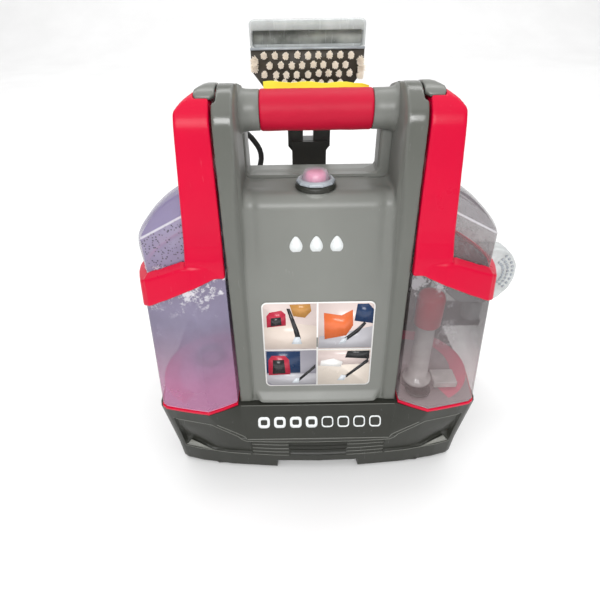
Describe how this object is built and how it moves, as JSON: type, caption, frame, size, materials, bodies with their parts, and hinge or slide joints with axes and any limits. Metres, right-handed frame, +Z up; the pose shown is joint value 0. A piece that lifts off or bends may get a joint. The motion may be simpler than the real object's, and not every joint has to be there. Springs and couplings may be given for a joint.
{
  "type": "portable carpet spot cleaner",
  "caption": "Upright box-shaped carpet spot cleaner: grey body with a carrying handle, lift-off side tanks on red arms, and a brush hand tool docked behind.",
  "frame": {"origin": "bottom centre of the whole object's box without the cord, on the floor; the machine's own mid-plane is 35 mm towards -X, because the spare nozzle stands out on the +X side", "axes": "+Z up, front faces -Y, +X to the viewer's right when looking at the front"},
  "size_m": [0.3942, 0.221, 0.404],
  "materials": {
    "body_grey": "satin moulded grey",
    "base_grey": "satin moulded dark grey",
    "arm_red": "gloss moulded red",
    "grip_red": "soft-touch crimson",
    "black_plastic": "satin black",
    "black_rubber": "matt",
    "lilac_clear": "translucent lilac plastic",
    "grey_clear": "translucent clear plastic",
    "cream_bristle": "bristle tufts",
    "yellow_tape": "plain tape",
    "label": null,
    "steel": "plain",
    "motor_alloy": "plain",
    "white_plastic": "satin",
    "button_pink": "translucent over red",
    "brass_pins": "polished"
  },
  "bodies": {
    "chassis": {"base_tub": "base_grey", "base_pan": "black_plastic", "rubber_feet": "black_rubber", "front_cover": "body_grey", "rear_cover": "body_grey", "handle_bar": "body_grey", "handle_grip": "grip_red", "grip_tape": "yellow_tape", "picture_label": "label", "button_bezel": "base_grey", "button_flange": "grey_clear", "button_spring": "steel", "switch_body": "black_plastic", "cradle_left": "arm_red", "cradle_right": "arm_red", "water_valve_seat": "black_plastic", "suction_seal": "black_rubber", "suction_duct": "base_grey", "suction_motor": "motor_alloy", "motor_mount": "black_plastic", "fan_housing": "base_grey", "pump_body": "motor_alloy", "water_tube": "white_plastic", "hose_port": "black_plastic", "tool_dock": "black_plastic", "cord_hooks": "black_plastic", "accessory_peg": "black_plastic", "case_screws": "steel", "cord_gland": "black_rubber", "mains_lead": "black_rubber", "cord_winding": "black_rubber", "loose_turn": "black_rubber", "mains_plug": "black_rubber", "plug_pins": "brass_pins"},
    "fan": {"fan": "motor_alloy", "motor_shaft": "steel"},
    "pump_plunger": {"pump_plunger": "steel"},
    "power_button": {"power_button": "button_pink"},
    "clean_tank": {"clean_tank": "lilac_clear", "clean_tank_arm": "arm_red"},
    "clean_latch": {"clean_latch": "body_grey"},
    "clean_cap": {"clean_cap": "body_grey"},
    "clean_cap_valve": {"clean_cap_valve": "white_plastic"},
    "dirty_tank": {"dirty_tank": "grey_clear", "dirty_tank_arm": "arm_red", "riser_pipe": "grey_clear"},
    "dirty_latch": {"dirty_latch": "body_grey"},
    "float": {"float": "arm_red"},
    "dirty_bung": {"dirty_bung": "black_rubber"},
    "hand_tool": {"tool_body": "black_plastic"},
    "tool_trigger": {"tool_trigger": "arm_red"},
    "tool_head": {"tool_nozzle": "grey_clear", "tool_brush_plate": "base_grey", "tool_bristles": "cream_bristle"},
    "spare_nozzle": {"spare_nozzle": "grey_clear"}
  },
  "joints": [
    {"name": "button_press", "type": "slide", "parent": "chassis", "child": "power_button", "axis": [0, 0, -1], "range_m": [0, 0.0025], "stiffness_N_per_m": 900, "springref_m": -0.001, "deforming": ["button_spring"]},
    {"name": "clean_tank_lift", "type": "slide", "parent": "chassis", "child": "clean_tank", "axis": [0, 0, 1], "range_m": [0, 0.12]},
    {"name": "dirty_tank_lift", "type": "slide", "parent": "chassis", "child": "dirty_tank", "axis": [0, 0, 1], "range_m": [0, 0.12]},
    {"name": "clean_latch_press", "type": "slide", "parent": "clean_tank", "child": "clean_latch", "axis": [0, 0, -1], "range_m": [0, 0.0025], "stiffness_N_per_m": 700, "springref_m": -0.001},
    {"name": "dirty_latch_press", "type": "slide", "parent": "dirty_tank", "child": "dirty_latch", "axis": [0, 0, -1], "range_m": [0, 0.0025], "stiffness_N_per_m": 700, "springref_m": -0.001},
    {"name": "clean_cap_turn", "type": "hinge", "parent": "clean_tank", "child": "clean_cap", "pos_m": [-0.153, -0.026, 0.082], "axis": [0, 0, 1], "range_deg": [0, 90]},
    {"name": "cap_valve_push", "type": "slide", "parent": "clean_cap", "child": "clean_cap_valve", "axis": [0, 0, 1], "range_m": [0, 0.003], "stiffness_N_per_m": 250, "springref_m": -0.001},
    {"name": "float_rise", "type": "slide", "parent": "dirty_tank", "child": "float", "axis": [0, 0, 1], "range_m": [0, 0.012]},
    {"name": "bung_pull", "type": "slide", "parent": "dirty_tank", "child": "dirty_bung", "axis": [0, 1, 0], "range_m": [0, 0.012]},
    {"name": "tool_lift", "type": "slide", "parent": "chassis", "child": "hand_tool", "axis": [0, 0, 1], "range_m": [0, 0.12]},
    {"name": "trigger_pull", "type": "hinge", "parent": "hand_tool", "child": "tool_trigger", "pos_m": [-0.039, 0.078, 0.257], "axis": [1, 0, 0], "range_deg": [0, 8], "stiffness_Nm_per_rad": 1.2, "springref_deg": -5.73},
    {"name": "head_release", "type": "slide", "parent": "hand_tool", "child": "tool_head", "axis": [0, 0, 1], "range_m": [0, 0.03]},
    {"name": "fan_spin", "type": "hinge", "parent": "chassis", "child": "fan", "pos_m": [-0.035, -0.004, 0.18], "axis": [0, 0, 1], "continuous": true},
    {"name": "pump_stroke", "type": "slide", "parent": "chassis", "child": "pump_plunger", "axis": [0, 0, 1], "range_m": [0, 0.003], "stiffness_N_per_m": 1500, "springref_m": -0.0005},
    {"name": "spare_nozzle_lift", "type": "slide", "parent": "chassis", "child": "spare_nozzle", "axis": [0, 0, 1], "range_m": [0, 0.04]}
  ]
}
